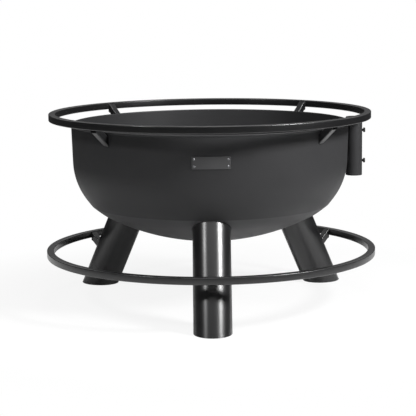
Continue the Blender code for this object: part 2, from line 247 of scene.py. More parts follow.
class FireBowlColours(bpy.types.PropertyGroup):
    """Colours of the finishes."""

    bowl_paint: bpy.props.FloatVectorProperty(
        name="Bowl paint", description="Matt heat-resistant paint of the bowl and the pole socket",
        default=linear("2c2c2d"), subtype="COLOR", min=0.0, max=1.0)
    tube_paint: bpy.props.FloatVectorProperty(
        name="Tube paint", description="Satin black paint of the legs, rails and struts",
        default=linear("111112"), subtype="COLOR", min=0.0, max=1.0)
    plate_paint: bpy.props.FloatVectorProperty(
        name="Plate paint", description="Grey lacquer of the name plate",
        default=linear("4b4b4c"), subtype="COLOR", min=0.0, max=1.0)
    rivet_metal: bpy.props.FloatVectorProperty(
        name="Rivet metal", description="Dulled aluminium of the rivets",
        default=linear("7c7d7f"), subtype="COLOR", min=0.0, max=1.0)
    screw_metal: bpy.props.FloatVectorProperty(
        name="Screw metal", description="Blackened steel of the clamp screws",
        default=linear("262627"), subtype="COLOR", min=0.0, max=1.0)


class FireBowlStudio(bpy.types.PropertyGroup):
    """Light and floor of the stage."""

    key_power: bpy.props.FloatProperty(
        name="Key power", description="Power of the soft box at the front right",
        default=120.0, min=0.0, max=1000.0, unit="POWER")
    fill_power: bpy.props.FloatProperty(
        name="Fill power", description="Power of the soft box at the front left",
        default=24.0, min=0.0, max=1000.0, unit="POWER")
    panel_power: bpy.props.FloatProperty(
        name="Panel power", description="Power of the wide dim panel high in front",
        default=14.0, min=0.0, max=1000.0, unit="POWER")
    top_power: bpy.props.FloatProperty(
        name="Top power", description="Power of the large soft box above",
        default=26.0, min=0.0, max=1000.0, unit="POWER")
    room_light: bpy.props.FloatProperty(
        name="Room light", description="Strength of the even light from all round",
        default=0.05, min=0.0, max=2.0)
    shadow: bpy.props.FloatProperty(
        name="Floor shadow", description="Share of the floor's own shading that the camera sees",
        default=0.12, min=0.0, max=1.0, subtype="FACTOR")
    paper_reach: bpy.props.FloatProperty(
        name="Paper reach", description="How far from the bowl's axis the white paper lies",
        default=1.6, min=1.0, max=20.0, unit="LENGTH")


def outward(azimuth):
    """Level unit vectors away from the bowl's axis: (sin azimuth, -cos azimuth, 0)."""
    azimuth = np.asarray(azimuth, float)
    return np.stack([np.sin(azimuth), -np.cos(azimuth), np.zeros_like(azimuth)], axis=-1)


def unit(vectors):
    """Vectors divided by their lengths."""
    return vectors / np.linalg.norm(vectors, axis=-1, keepdims=True)


def circle(radius, count):
    """Points radius * (cos a, sin a) at equal steps of a."""
    angles = np.arange(count) * 2 * pi / count
    return radius * np.stack([np.cos(angles), np.sin(angles)], axis=-1)


def rounded_rectangle(width, height, corner, steps):
    """Closed outline, anticlockwise: a quarter circle of the corner's radius about each inset corner."""
    inset = np.array([width / 2 - corner, height / 2 - corner])
    signs = np.repeat(np.array([[1, 1], [-1, 1], [-1, -1], [1, -1]]), steps + 1, axis=0)
    angles = (np.arange(4)[:, None] * pi / 2 + np.linspace(0, pi / 2, steps + 1)[None]).ravel()
    return signs * inset + corner * np.stack([np.cos(angles), np.sin(angles)], axis=-1)


def along_outline(outline, count):
    """Closed outline resampled to points at equal distances along it."""
    loop = np.vstack([outline, outline[:1]])
    travelled = np.concatenate([[0.0], np.cumsum(np.linalg.norm(np.diff(loop, axis=0), axis=1))])
    wanted = np.linspace(0.0, travelled[-1], count, endpoint=False)
    return np.stack([np.interp(wanted, travelled, column) for column in loop.T], axis=-1)


def cut_corners(points, times=3):
    """Open line whose corners each give way to points a quarter and three quarters along its sides."""
    for _ in range(times):
        near = 0.75 * points[:-1] + 0.25 * points[1:]
        far = 0.25 * points[:-1] + 0.75 * points[1:]
        middle = np.stack([near, far], axis=1).reshape(-1, points.shape[1])
        points = np.vstack([points[:1], middle, points[-1:]])
    return points


def arc(centre, radius, start, end, count):
    """Points centre + radius * (cos a, sin a) for a from start to end."""
    angles = np.linspace(start, end, count)
    return np.asarray(centre) + radius * np.stack([np.cos(angles), np.sin(angles)], axis=-1)


def bowl_arcs():
    """Centres of the bowl's outer arcs in (radius, height) and the angle at which knuckle meets crown."""
    bottom_radius = BOWL_RADIUS - (RIM_HEIGHT - SKIRT_BOTTOM) * tan(SKIRT_TAPER)
    knuckle = np.array([
        bottom_radius - KNUCKLE_RADIUS * cos(SKIRT_TAPER),
        SKIRT_BOTTOM + KNUCKLE_RADIUS * sin(SKIRT_TAPER),
    ])
    rise = sqrt((CROWN_RADIUS - KNUCKLE_RADIUS) ** 2 - knuckle[0] ** 2)
    return knuckle, np.array([0.0, knuckle[1] + rise]), atan2(-rise, knuckle[0])


def bowl_line(offset):
    """Profile from the rim down to the axis: a line, a knuckle arc and a crown arc, moved out by offset."""
    knuckle, crown, meeting = bowl_arcs()
    top = np.array([BOWL_RADIUS + offset / cos(SKIRT_TAPER), RIM_HEIGHT])
    side = arc(knuckle, KNUCKLE_RADIUS + offset, -SKIRT_TAPER, meeting, KNUCKLE_POINTS)
    skirt = top + np.linspace(0, 1, SKIRT_POINTS, endpoint=False)[:, None] * (side[0] - top)
    base = arc(crown, CROWN_RADIUS + offset, meeting, -pi / 2, CROWN_POINTS)
    base[-1, 0] = 0.0
    return np.vstack([skirt, side, base[1:]])


def seam_angle():
    """Angle on the knuckle arc at which the bottom is welded on."""
    knuckle = bowl_arcs()[0]
    return atan2(SEAM_HEIGHT - knuckle[1], sqrt(KNUCKLE_RADIUS ** 2 - (SEAM_HEIGHT - knuckle[1]) ** 2))


def with_seam(profile):
    """Outside profile with the seam of the dished bottom.

    Points near the seam are added on the knuckle arc, and each moves away from the arc's centre by
    proud * exp(-|s| / spread) at the distance s from the seam along the arc.
    """
    knuckle = bowl_arcs()[0]
    apart = np.array(SEAM_DISTANCES) / KNUCKLE_RADIUS
    close = seam_angle() + np.concatenate([-apart[::-1], [0.0], apart])
    extra = knuckle + KNUCKLE_RADIUS * np.stack([np.cos(close), np.sin(close)], axis=-1)
    points = np.vstack([profile, extra])
    points = points[np.lexsort((points[:, 0], -points[:, 1]))]
    spoke = points - knuckle
    angle = np.arctan2(spoke[:, 1], spoke[:, 0])
    proud = SEAM_PROUD * np.exp(-np.abs(angle - seam_angle()) * KNUCKLE_RADIUS / SEAM_SPREAD)
    return points + np.where(spoke[:, :1] > 0, proud[:, None] * unit(spoke), 0.0)


def skirt_radius(height):
    """Outer radius of the tapered skirt: it shrinks by tan(taper) for each metre below the rim."""
    return BOWL_RADIUS - (RIM_HEIGHT - height) * tan(SKIRT_TAPER)


def bowl_gap(points):
    """Distance outside the bowl's skin, by whether a point faces its skirt, its knuckle or its crown."""
    knuckle, crown, meeting = bowl_arcs()
    flat = points - AXIS
    across = np.hypot(flat[..., 0], flat[..., 1])
    height = flat[..., 2]
    angle = np.arctan2(height - knuckle[1], across - knuckle[0])
    to_skirt = (across - skirt_radius(height)) * cos(SKIRT_TAPER)
    to_knuckle = np.hypot(across - knuckle[0], height - knuckle[1]) - KNUCKLE_RADIUS
    to_crown = np.hypot(across, height - crown[1]) - CROWN_RADIUS
    return np.where(angle > -SKIRT_TAPER, to_skirt, np.where(angle > meeting, to_knuckle, to_crown))


def inside_radius_gap(radius):
    """Distance inside an upright cylinder about the bowl's axis."""
    return lambda points: radius - np.hypot(*np.moveaxis(points - AXIS, -1, 0)[:2])


def meet(points, along, gap, free, stopped):
    """How far along its line each point gets before the gap closes, by halving the stretch each time."""
    free = np.full(len(points), float(free))
    stopped = np.full(len(points), float(stopped))
    for _ in range(BISECTIONS):
        middle = (free + stopped) / 2
        is_open = gap(points + middle[:, None] * along) > 0
        free = np.where(is_open, middle, free)
        stopped = np.where(is_open, stopped, middle)
    return free


def grid_faces(rows, columns, wrap_rows, wrap_columns):
    """Four-sided faces between neighbours of a grid whose points are numbered row by row."""
    row = np.arange(rows if wrap_rows else rows - 1)[:, None]
    column = np.arange(columns if wrap_columns else columns - 1)[None]
    next_row = (row + 1) % rows
    next_column = (column + 1) % columns
    corners = (row * columns + column, row * columns + next_column,
               next_row * columns + next_column, next_row * columns + column)
    return np.stack(np.broadcast_arrays(*corners), axis=-1).reshape(-1, 4)


def make_piece(name, grids, finish, replaced=(), body="frame", sharp=SHARP_EDGE):
    """One piece from grids of points, each given as (points, whether its rows and its columns close)."""
    places = []
    faces = []
    first = 0
    for points, wrap_rows, wrap_columns in grids:
        rows, columns = points.shape[:2]
        places.append(points.reshape(-1, 3))
        faces.append(grid_faces(rows, columns, wrap_rows, wrap_columns) + first)
        first += rows * columns
    mesh = bpy.data.meshes.new(name)
    mesh.from_pydata(np.vstack(places).tolist(), [], np.vstack(faces).tolist())
    shape = bmesh.new()
    shape.from_mesh(mesh)
    bmesh.ops.remove_doubles(shape, verts=shape.verts, dist=MERGE_DISTANCE)
    bmesh.ops.recalc_face_normals(shape, faces=shape.faces)
    if not all(edge.is_manifold for edge in shape.edges):
        raise RuntimeError(name + " isn't a closed surface")
    shape.to_mesh(mesh)
    shape.free()
    mesh.shade_smooth()
    mesh.set_sharp_from_angle(angle=sharp)
    mesh.materials.append(finish)
    piece = bpy.data.objects.new(name, mesh)
    bpy.context.scene.collection.objects.link(piece)
    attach(piece, body)
    if replaced:
        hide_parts(*replaced)


def turned(profile, azimuths):
    """Surface of revolution: axis + outward(azimuth) * radius + up * height."""
    return AXIS + profile[:, None, :1] * outward(azimuths) + profile[:, None, 1:] * UP


def spokes_about(along, side, count):
    """Unit vectors square to a line: cos a * (side x along) + sin a * side at equal steps of a."""
    spin = circle(1.0, count)
    return spin[:, :1] * np.cross(side, along) + spin[:, 1:] * side


def turned_about(profile, origin, along, side, count):
    """Surface of revolution of (radius, height) points about a line through origin."""
    spokes = spokes_about(along, side, count)
    return origin + profile[:, None, :1] * spokes + profile[:, None, 1:] * along


def tube_between(origin, along, side, outline, bore, starts, ends, edge, rows=TUBE_ROWS):
    """Tube whose lines run from one surface to another.

    Each point of the outline is carried along the axis from starts to ends, which are (gap, free, stopped)
    as meet takes them. The outer edges are broken by a small bevel, and the bore comes back the same way.
    Gives the grid and the outline's two end loops.
    """

    def carried(points, surface):
        return points + meet(points, along, *surface)[:, None] * along

    across = np.cross(side, along)
    outer = origin + outline[:, :1] * across + outline[:, 1:] * side
    inner = origin + bore[:, :1] * across + bore[:, 1:] * side
    shrunk = outer + (inner - outer) * edge / np.linalg.norm(inner - outer, axis=1, keepdims=True)
    first = meet(outer, along, *starts)
    last = meet(outer, along, *ends)
    shares = np.linspace(0, 1, rows)[:, None, None]
    low = outer + (first + edge)[:, None] * along
    high = outer + (last - edge)[:, None] * along
    wall = low + shares * (high - low)
    bore_low = carried(inner, starts)
    bore_high = carried(inner, ends)
    bore_wall = bore_high + shares * (bore_low - bore_high)
    grid = np.concatenate([carried(shrunk, starts)[None], wall, carried(shrunk, ends)[None], bore_wall])
    return grid, outer + first[:, None] * along, outer + last[:, None] * along


def bead(path, radius, pitch, closed=True):
    """Weld bead: a round section carried along a path.

    At the distance s its radius is r * (least + ripple * |cos(pi * s / pitch)| + waves), and each wave is
    height * sin(2 pi * number * s / length + phase). At the ends of an open path the radius falls to
    nothing as the root of sin does. The section stands square to the path's tangent, and its first
    direction points away from the path's middle.
    """
    loop = np.vstack([path, path[:1]]) if closed else path
    travelled = np.concatenate([[0.0], np.cumsum(np.linalg.norm(np.diff(loop, axis=0), axis=1))])
    length = travelled[-1]
    count = max(int(length / pitch), BEAD_FEWEST_RIPPLES) * BEAD_STEPS_PER_RIPPLE
    distance = np.linspace(0.0, length, count, endpoint=not closed)
    centre = np.stack([np.interp(distance, travelled, column) for column in loop.T], axis=-1)
    ahead = np.roll(centre, -1, axis=0) - np.roll(centre, 1, axis=0)
    if not closed:
        ahead[0] = centre[1] - centre[0]
        ahead[-1] = centre[-1] - centre[-2]
    tangent = unit(ahead)
    away = centre - centre.mean(axis=0) if closed else np.broadcast_to(ACROSS_Y, centre.shape)
    first = unit(away - (away * tangent).sum(axis=1, keepdims=True) * tangent)
    second = np.cross(tangent, first)
    ripple = BEAD_LEAST + BEAD_RIPPLE * np.abs(np.cos(pi * distance / pitch))
    waves = sum(height * np.sin(2 * pi * number * distance / length + phase)
                for height, number, phase in BEAD_WAVES)
    size = radius * (ripple + waves)
    if not closed:
        size = size * np.sqrt(np.maximum(np.sin(pi * distance / length), 0.0))
    section = circle(1.0, BEAD_SIDES)
    spokes = section[:, None, :1] * first + section[:, None, 1:] * second
    return centre + size[:, None] * spokes


def add_node(tree, kind, inputs=None, **settings):
    """Adds a node with its settings; an input that is a socket is linked and any other is set."""
    made = tree.nodes.new(kind)
    for key, value in settings.items():
        setattr(made, key, value)
    for key, value in (inputs or {}).items():
        if isinstance(value, bpy.types.NodeSocket):
            tree.links.new(value, made.inputs[key])
        else:
            made.inputs[key].default_value = value
    return made


def coated_metal(name, colour, lighter, roughness, spread, grain_mm, grain_depth_mm,
                 specular=0.5, metallic=0.0, stretch=(1.0, 1.0, 1.0), painted_light_below=None):
    """Metal or the coat on it: cloudy colour and roughness, and a fine grain in the surface.

    Over its clouds the colour goes up to lighter times itself, and the roughness up and down by spread. The
    grain is a noise of the given size and depth, stretched along an axis where the surface was brushed. Real
    spray grain and brushing are too fine to show, so they are drawn a few times coarser. The last argument
    is a height in metres and how many times as light the colour is painted under it: painted light.
    """
    if name in bpy.data.materials:
        return bpy.data.materials[name]
    finish = bpy.data.materials.new(name)
    finish.use_nodes = True
    tree = finish.node_tree
    shader = tree.nodes["Principled BSDF"]
    place = add_node(tree, "ShaderNodeTexCoord").outputs["Object"]
    clouds = add_node(tree, "ShaderNodeTexNoise", {
        "Vector": place, "Scale": 1 / CLOUD_SIZE, "Detail": 4.0, "Roughness": 0.55})
    tint = add_node(tree, "ShaderNodeMix", {"Factor": clouds.outputs["Fac"]}, data_type="RGBA")
    tint.inputs["A"].default_value = (*colour, 1.0)
    tint.inputs["B"].default_value = (*[min(1.0, lighter * part) for part in colour], 1.0)
    shade = tint.outputs["Result"]
    # Painted light: under the given height the colour is painted lighter
    if painted_light_below:
        line, gain = painted_light_below
        height = add_node(tree, "ShaderNodeSeparateXYZ", {0: place}).outputs["Z"]
        times = add_node(tree, "ShaderNodeMapRange", {
            "Value": height, "From Min": line - PAINTED_LIGHT_EDGE, "From Max": line + PAINTED_LIGHT_EDGE,
            "To Min": gain, "To Max": 1.0})
        shade = add_node(tree, "ShaderNodeVectorMath", {0: shade, "Scale": times.outputs["Result"]},
                         operation="SCALE").outputs[0]
    tree.links.new(shade, shader.inputs["Base Color"])
    gloss = add_node(tree, "ShaderNodeMapRange", {
        "Value": clouds.outputs["Fac"], "From Min": CLOUD_LOW, "From Max": CLOUD_HIGH,
        "To Min": roughness - spread, "To Max": roughness + spread})
    tree.links.new(gloss.outputs["Result"], shader.inputs["Roughness"])
    spread_out = add_node(tree, "ShaderNodeMapping", {"Vector": place, "Scale": stretch})
    grain = add_node(tree, "ShaderNodeTexNoise", {
        "Vector": spread_out.outputs["Vector"], "Scale": 1000 / grain_mm, "Detail": 2.0})
    bump = add_node(tree, "ShaderNodeBump", {
        "Height": grain.outputs["Fac"], "Strength": 1.0, "Distance": grain_depth_mm / 1000})
    tree.links.new(bump.outputs["Normal"], shader.inputs["Normal"])
    shader.inputs["Specular IOR Level"].default_value = specular
    shader.inputs["Metallic"].default_value = metallic
    return finish


def bowl_paint():
    """Silicone enamel, sprayed and baked: matt, a broad sheen, and a dry spray grain.

    The dished bottom, under its seam, is painted 1.5 times as light: painted light for its brighter shading.
    """
    return coated_metal(
        "silicone_enamel_sprayed", bpy.context.scene.fire_bowl_colours.bowl_paint, lighter=1.12,
        roughness=0.52, spread=0.03, grain_mm=1.6, grain_depth_mm=0.030, specular=0.25,
        painted_light_below=(SEAM_HEIGHT, 1.5))


def tube_paint():
    """Powder coat, satin: a tighter sheen than the bowl's, with a faint orange peel."""
    return coated_metal(
        "powder_coat_satin", bpy.context.scene.fire_bowl_colours.tube_paint, lighter=1.15,
        roughness=0.31, spread=0.02, grain_mm=2.4, grain_depth_mm=0.020, specular=0.75)


def weld_paint():
    """Powder coat over a weld bead: the same colour, rougher where the coat sits on scale."""
    return coated_metal(
        "powder_coat_over_weld", bpy.context.scene.fire_bowl_colours.tube_paint, lighter=1.2,
        roughness=0.55, spread=0.05, grain_mm=0.9, grain_depth_mm=0.040, specular=0.3)


def plate_paint():
    """Thin steel plate, lacquered grey over fine brushing along its length."""
    return coated_metal(
        "lacquered_plate_brushed", bpy.context.scene.fire_bowl_colours.plate_paint, lighter=1.2,
        roughness=0.42, spread=0.04, grain_mm=0.8, grain_depth_mm=0.030, specular=0.4, metallic=0.4,
        stretch=(0.05, 0.05, 1.0))


def rivet_metal():
    """Aluminium rivet, cold headed: bright metal that a thin oxide has dulled."""
    return coated_metal(
        "aluminium_cold_headed", bpy.context.scene.fire_bowl_colours.rivet_metal, lighter=1.2,
        roughness=0.38, spread=0.05, grain_mm=0.5, grain_depth_mm=0.010, metallic=0.9)


def screw_metal():
    """Steel screw, cold forged and blackened: dark oxide with an oily sheen."""
    return coated_metal(
        "steel_blackened_forged", bpy.context.scene.fire_bowl_colours.screw_metal, lighter=1.3,
        roughness=0.36, spread=0.05, grain_mm=0.4, grain_depth_mm=0.010, metallic=0.7)


def ring_azimuths(seam, radius):
    """Equal steps round a rail, with close steps either side of the seam where its ends are welded."""
    even = np.arange(RAIL_STEPS) * 2 * pi / RAIL_STEPS
    close = seam + np.linspace(-RAIL_SEAM_REACH, RAIL_SEAM_REACH, RAIL_SEAM_STEPS) / radius
    return np.unique(np.round(np.concatenate([even, close]) % (2 * pi), decimals=6))


def build_bowl_shell():
    """Inside line, folded hem and outside line of the shell, turned about the axis."""
    inside = bowl_line(-BOWL_WALL)
    outside = bowl_line(0.0)
    hem_bottom = RIM_HEIGHT - HEM_HEIGHT
    rim = BOWL_RADIUS + HEM_PROUD
    hem = np.array([
        inside[1],
        inside[0],
        [BOWL_RADIUS, RIM_HEIGHT],
        [rim, RIM_HEIGHT - HEM_PROUD / 2],
        [rim, hem_bottom + HEM_PROUD / 2],
        [skirt_radius(hem_bottom), hem_bottom],
        outside[1],
    ])
    profile = np.vstack([inside[:1:-1], cut_corners(hem), with_seam(outside[2:-1]), outside[-1:]])
    grid = turned(profile, np.arange(BOWL_STEPS) * 2 * pi / BOWL_STEPS)
    make_piece("bowl_shell", [(grid, False, True)], bowl_paint(), ["bowl"])


def build_rail(node, inner_radius, top, seam):
    """Rounded square section turned about the axis, a hair thicker at its closing weld.

    Its inner and lower halves grow by swell * exp(-(s / spread)^2) at the distance s from the seam, where
    the weld was ground flush only outside and on top.
    """
    size = TUBE_SIZE - RAIL_EASE
    section = rounded_rectangle(size, size, bpy.context.scene.fire_bowl_sizes.tube_corner, CORNER_STEPS)
    azimuths = ring_azimuths(seam, inner_radius)
    swell = 1 + RAIL_SEAM_SWELL * np.exp(-(((azimuths - seam) * inner_radius / RAIL_SEAM_SPREAD) ** 2))
    across = inner_radius + TUBE_SIZE / 2 + section[:, :1] * np.where(section[:, :1] < 0, swell, 1.0)
    height = top - TUBE_SIZE / 2 + section[:, 1:] * np.where(section[:, 1:] < 0, swell, 1.0)
    grid = AXIS + across[..., None] * outward(azimuths) + height[..., None] * UP
    make_piece(node + "_ring", [(grid, True, True)], tube_paint(), [node])


def build_strut(name, azimuth, inner_radius, top, end_gap):
    """Square tube from a rail's inner face down and inwards to end_gap, with a bead at each end.

    The bead at the rail is ground flush with the rail's top.
    """
    sizes = bpy.context.scene.fire_bowl_sizes
    out = outward(azimuth)
    down = -UP * sin(STRUT_SLOPE) - out * cos(STRUT_SLOPE)
    middle = top - STRUT_BELOW_RAIL_TOP - TUBE_SIZE / 2 / cos(STRUT_SLOPE)
    origin = AXIS + out * inner_radius + UP * middle
    outline = rounded_rectangle(TUBE_SIZE, TUBE_SIZE, sizes.tube_corner, CORNER_STEPS)
    outline = along_outline(outline, STRUT_STEPS)
    bore = outline * (TUBE_SIZE - 2 * TUBE_WALL) / TUBE_SIZE
    starts = (inside_radius_gap(inner_radius), STRUT_IN_OPEN, STRUT_IN_RAIL)
    ends = (end_gap, STRUT_IN_OPEN, STRUT_PAST_END)
    grid, at_rail, at_end = tube_between(
        origin, down, np.cross(UP, out), outline, bore, starts, ends, STRUT_BROKEN_EDGE)
    make_piece(name + "_tube", [(grid, True, True)], tube_paint(), [name])
    beads = [(bead(loop, sizes.strut_weld, sizes.weld_pitch), True, True) for loop in (at_rail, at_end)]
    heights = beads[0][0][..., 2]
    np.minimum(heights, top - BEAD_BELOW_RAIL_TOP, out=heights)
    make_piece(name + "_welds", beads, weld_paint())


def leg_line(azimuth):
    """Foot point on the floor and direction up a leg that leans in towards the bowl's axis."""
    out = outward(azimuth)
    return AXIS + out * LEG_FOOT_RADIUS, UP * cos(LEG_SPLAY) - out * sin(LEG_SPLAY)


def leg_gap(azimuth):
    """Distance outside a leg's wall: the distance to its axis less its radius."""
    foot, up = leg_line(azimuth)

    def gap(points):
        from_foot = points - foot
        beside = from_foot - (from_foot @ up)[..., None] * up
        return np.linalg.norm(beside, axis=-1) - LEG_RADIUS

    return gap


def build_leg(place, azimuth):
    """Round tube from the floor to the bowl's skin, with the bead that joins it to the bowl."""
    sizes = bpy.context.scene.fire_bowl_sizes
    node = "leg_" + place
    foot, up = leg_line(azimuth)
    side = unit(np.cross(up, outward(azimuth)))
    outline = circle(LEG_RADIUS, LEG_STEPS)
    bore = circle(LEG_RADIUS - LEG_WALL, LEG_STEPS)
    starts = (lambda points: points[..., 2], LEG_IN_OPEN, LEG_UNDER_FLOOR)
    ends = (bowl_gap, LEG_IN_OPEN, LEG_IN_BOWL)
    grid, _, at_bowl = tube_between(
        foot, up, side, outline, bore, starts, ends, PIPE_BROKEN_EDGE, LEG_ROWS)
    make_piece(node + "_tube", [(grid, True, True)], tube_paint(), [node])
    weld = bead(at_bowl, sizes.leg_weld, sizes.weld_pitch)
    make_piece(node + "_weld", [(weld, True, True)], weld_paint())


def socket_foot():
    """Point on the floor under the pole socket's axis."""
    return AXIS + outward(SOCKET_AZIMUTH) * SOCKET_AXIS_RADIUS


def build_socket():
    """Round tube with broken edges, and the two upright beads that hold it to the rim."""
    sizes = bpy.context.scene.fire_bowl_sizes
    outline = circle(SOCKET_RADIUS, SOCKET_STEPS)
    bore = circle(SOCKET_RADIUS - SOCKET_WALL, SOCKET_STEPS)
    middle = (SOCKET_BOTTOM + SOCKET_TOP) / 2
    starts = (lambda points: points[..., 2] - SOCKET_BOTTOM, middle, 0.0)
    ends = (lambda points: SOCKET_TOP - points[..., 2], middle, 1.0)
    grid = tube_between(socket_foot(), UP, ACROSS_Y, outline, bore, starts, ends, PIPE_BROKEN_EDGE)[0]
    make_piece("pole_socket_tube", [(grid, True, True)], bowl_paint(), ["pole_socket"])
    out = outward(SOCKET_AZIMUTH)
    beside = np.cross(UP, out)
    recess = SOCKET_RADIUS - sqrt(SOCKET_RADIUS ** 2 - SOCKET_WELD_BESIDE ** 2)
    low = UP * (RIM_HEIGHT - SOCKET_WELD_BELOW_RIM)
    high = UP * (RIM_HEIGHT + SOCKET_WELD_OVER_RIM)
    beads = []
    for sign in (-1, 1):
        foot = AXIS + out * (BOWL_RADIUS + HEM_PROUD + recess / 2) + beside * sign * SOCKET_WELD_BESIDE
        line = np.array([foot + low, foot + high])
        beads.append((bead(line, sizes.strut_weld, sizes.weld_pitch, closed=False), True, False))
    make_piece("pole_socket_welds", beads, weld_paint())


def hexagon_head(origin, along, side):
    """Head of a hexagon screw as a grid in (ring, angle).

    The flats stand at f / 2 / cos(a) for an angle a from the nearest flat's middle. A washer face lies
    under them, and a cone cuts their corners at the outer end.
    """
    angles = np.arange(HEAD_STEPS) * 2 * pi / HEAD_STEPS
    from_flat = (angles + pi / 6) % (pi / 3) - pi / 6
    flats = SCREW_HEAD_FLATS / 2 / np.cos(from_flat)
    zero = np.zeros(HEAD_STEPS)
    washer = zero + WASHER_FACE_RADIUS
    face = zero + END_FACE_RADIUS
    chamfer = SCREW_HEAD_HEIGHT - (flats - face) * tan(HEAD_CHAMFER)
    rings = [
        (zero, zero),
        (washer, zero),
        (washer, zero + WASHER_FACE_THICKNESS),
        (flats, zero + WASHER_FACE_THICKNESS),
        (flats, chamfer),
        (face, zero + SCREW_HEAD_HEIGHT),
        (zero, zero + SCREW_HEAD_HEIGHT),
    ]
    spokes = spokes_about(along, side, HEAD_STEPS)
    grid = [origin + radius[:, None] * spokes + height[:, None] * along for radius, height in rings]
    return np.stack(grid)


def threaded_shank(origin, along, side, pitch):
    """Shank under the head as a grid in (height, angle).

    Its radius at height z and angle a is r - d * |2 * frac(z / pitch - a / 2 pi) - 1|, where d is the
    thread's depth, and it narrows over the last pitch. Its two end rows close it at the axis.
    """
    angles = np.arange(THREAD_STEPS) * 2 * pi / THREAD_STEPS
    rows = int(SCREW_LENGTH / pitch) * THREAD_ROWS_PER_PITCH
    heights = np.linspace(-SCREW_LENGTH, SHANK_IN_HEAD, rows)
    turn = heights[:, None] / pitch - angles[None] / (2 * pi)
    groove = np.abs(2 * (turn % 1.0) - 1)
    lead = np.clip((-SCREW_LENGTH + pitch - heights) / pitch, 0.0, 1.0)[:, None]
    radius = SCREW_RADIUS - THREAD_DEPTH_IN_PITCHES * pitch * np.maximum(groove, lead)
    radius[[0, -1]] = 0.0
    heights[0] = heights[1]
    heights[-1] = heights[-2]
    spokes = spokes_about(along, side, THREAD_STEPS)
    return origin + radius[..., None] * spokes + heights[:, None, None] * along


def build_screw(place, height):
    """Clamp screw on its own body, which runs in and out along X."""
    pitch = bpy.context.scene.fire_bowl_sizes.thread_pitch
    node = "clamp_screw_" + place
    origin = socket_foot() + ACROSS_X * (SOCKET_RADIUS + SCREW_HEAD_GAP) + UP * height
    grids = [
        (hexagon_head(origin, ACROSS_X, ACROSS_Y), False, True),
        (threaded_shank(origin, ACROSS_X, ACROSS_Y, pitch), False, True),
    ]
    make_piece(node + "_hexagon", grids, screw_metal(), [node],
               body=place + "_screw", sharp=SCREW_SHARP_EDGE)


def on_skirt(along_arc, height, lift):
    """Points on the skirt from a distance along its arc, a height and a lift off its skin."""
    radius = skirt_radius(height) + lift / cos(SKIRT_TAPER)
    return AXIS + radius[..., None] * outward(along_arc / BOWL_RADIUS) + height[..., None] * UP


def build_name_plate():
    """Bare plate bent to the skirt.

    Rings of one rounded outline, each inset by a distance or shrunk towards the middle, go from the middle
    of the back over the broken edge to the middle of the front.
    """
    corner = bpy.context.scene.fire_bowl_sizes.plate_corner
    width = PLATE_ARC * skirt_radius(PLATE_TOP)
    middle = PLATE_TOP - PLATE_HEIGHT / 2
    back = PLATE_OFF_SKIN
    front = back + PLATE_THICKNESS
    edge = PLATE_BROKEN_EDGE
    rounded = 0.3 * edge
    steps = [
        (edge, back),
        (0.0, back + edge),
        (0.0, front - edge),
        (rounded, front - rounded),
        (edge, front),
    ]
    rings = []
    for inset, lift in steps:
        size = (width - 2 * inset, PLATE_HEIGHT - 2 * inset)
        outline = rounded_rectangle(*size, corner - inset, CORNER_STEPS)
        rings.append((along_outline(outline, PLATE_STEPS), lift))
    shrink = np.linspace(1.0, 0.0, PLATE_ROWS)
    rows = [(share * rings[0][0], back) for share in shrink[::-1]]
    rows += rings[1:-1]
    rows += [(share * rings[-1][0], front) for share in shrink]
    grid = np.stack([on_skirt(outline[:, 0], middle + outline[:, 1], lift) for outline, lift in rows])
    make_piece("name_plate_bare", [(grid, False, True)], plate_paint(), ["name_plate"])


def build_rivets():
    """Domed heads: a cap of a sphere with a flat foot, turned about the skirt's normal."""
    dome = (RIVET_HEAD_RADIUS ** 2 + RIVET_HEAD_HEIGHT ** 2) / (2 * RIVET_HEAD_HEIGHT)
    seat = PLATE_OFF_SKIN + PLATE_THICKNESS
    reach = atan2(RIVET_HEAD_RADIUS, dome - RIVET_HEAD_HEIGHT)
    cap = arc((0.0, seat + RIVET_HEAD_HEIGHT - dome), dome, pi / 2, pi / 2 - reach, RIVET_POINTS)
    cap[0, 0] = 0.0
    profile = np.vstack([cap, [[RIVET_FOOT_RADIUS, seat]], [[0.0, seat]]])
    azimuth = PLATE_ARC / 2 - RIVET_FROM_END
    heights = {"top": PLATE_TOP - RIVET_FROM_EDGE, "bottom": PLATE_TOP - PLATE_HEIGHT + RIVET_FROM_EDGE}
    for level, height in heights.items():
        for side, sign in (("left", -1), ("right", 1)):
            out = outward(sign * azimuth)
            square_out = out * cos(SKIRT_TAPER) - UP * sin(SKIRT_TAPER)
            origin = AXIS + out * skirt_radius(height) + UP * height
            grid = turned_about(profile, origin, square_out, unit(np.cross(square_out, UP)), RIVET_STEPS)
            node = "plate_rivet_" + level + "_" + side
            make_piece(node + "_head", [(grid, False, True)], rivet_metal(), [node])


def add_lamp(name, azimuth, elevation, distance, width, height, power):
    """Rectangular soft box at an azimuth and an elevation, both in degrees, that looks at the bowl."""
    target = AXIS + UP * LAMP_AIM_HEIGHT
    towards = outward(radians(azimuth)) * cos(radians(elevation)) + UP * sin(radians(elevation))
    light = bpy.data.lights.new(name, "AREA")
    light.shape = "RECTANGLE"
    light.size = width
    light.size_y = height
    light.energy = power
    lamp = bpy.data.objects.new(name, light)
    bpy.context.scene.collection.objects.link(lamp)
    lamp.location = target + towards * distance
    lamp.rotation_euler = Vector(-towards).to_track_quat("-Z", "Y").to_euler()


def eye_and_gloss(tree):
    """Two masks: 1 on rays from the camera, and 1 on rays from gloss and through glass."""
    path = add_node(tree, "ShaderNodeLightPath")
    mirrored = add_node(tree, "ShaderNodeMath", {
        0: path.outputs["Is Glossy Ray"], 1: path.outputs["Is Transmission Ray"]}, operation="MAXIMUM")
    return path.outputs["Is Camera Ray"], mirrored.outputs[0]


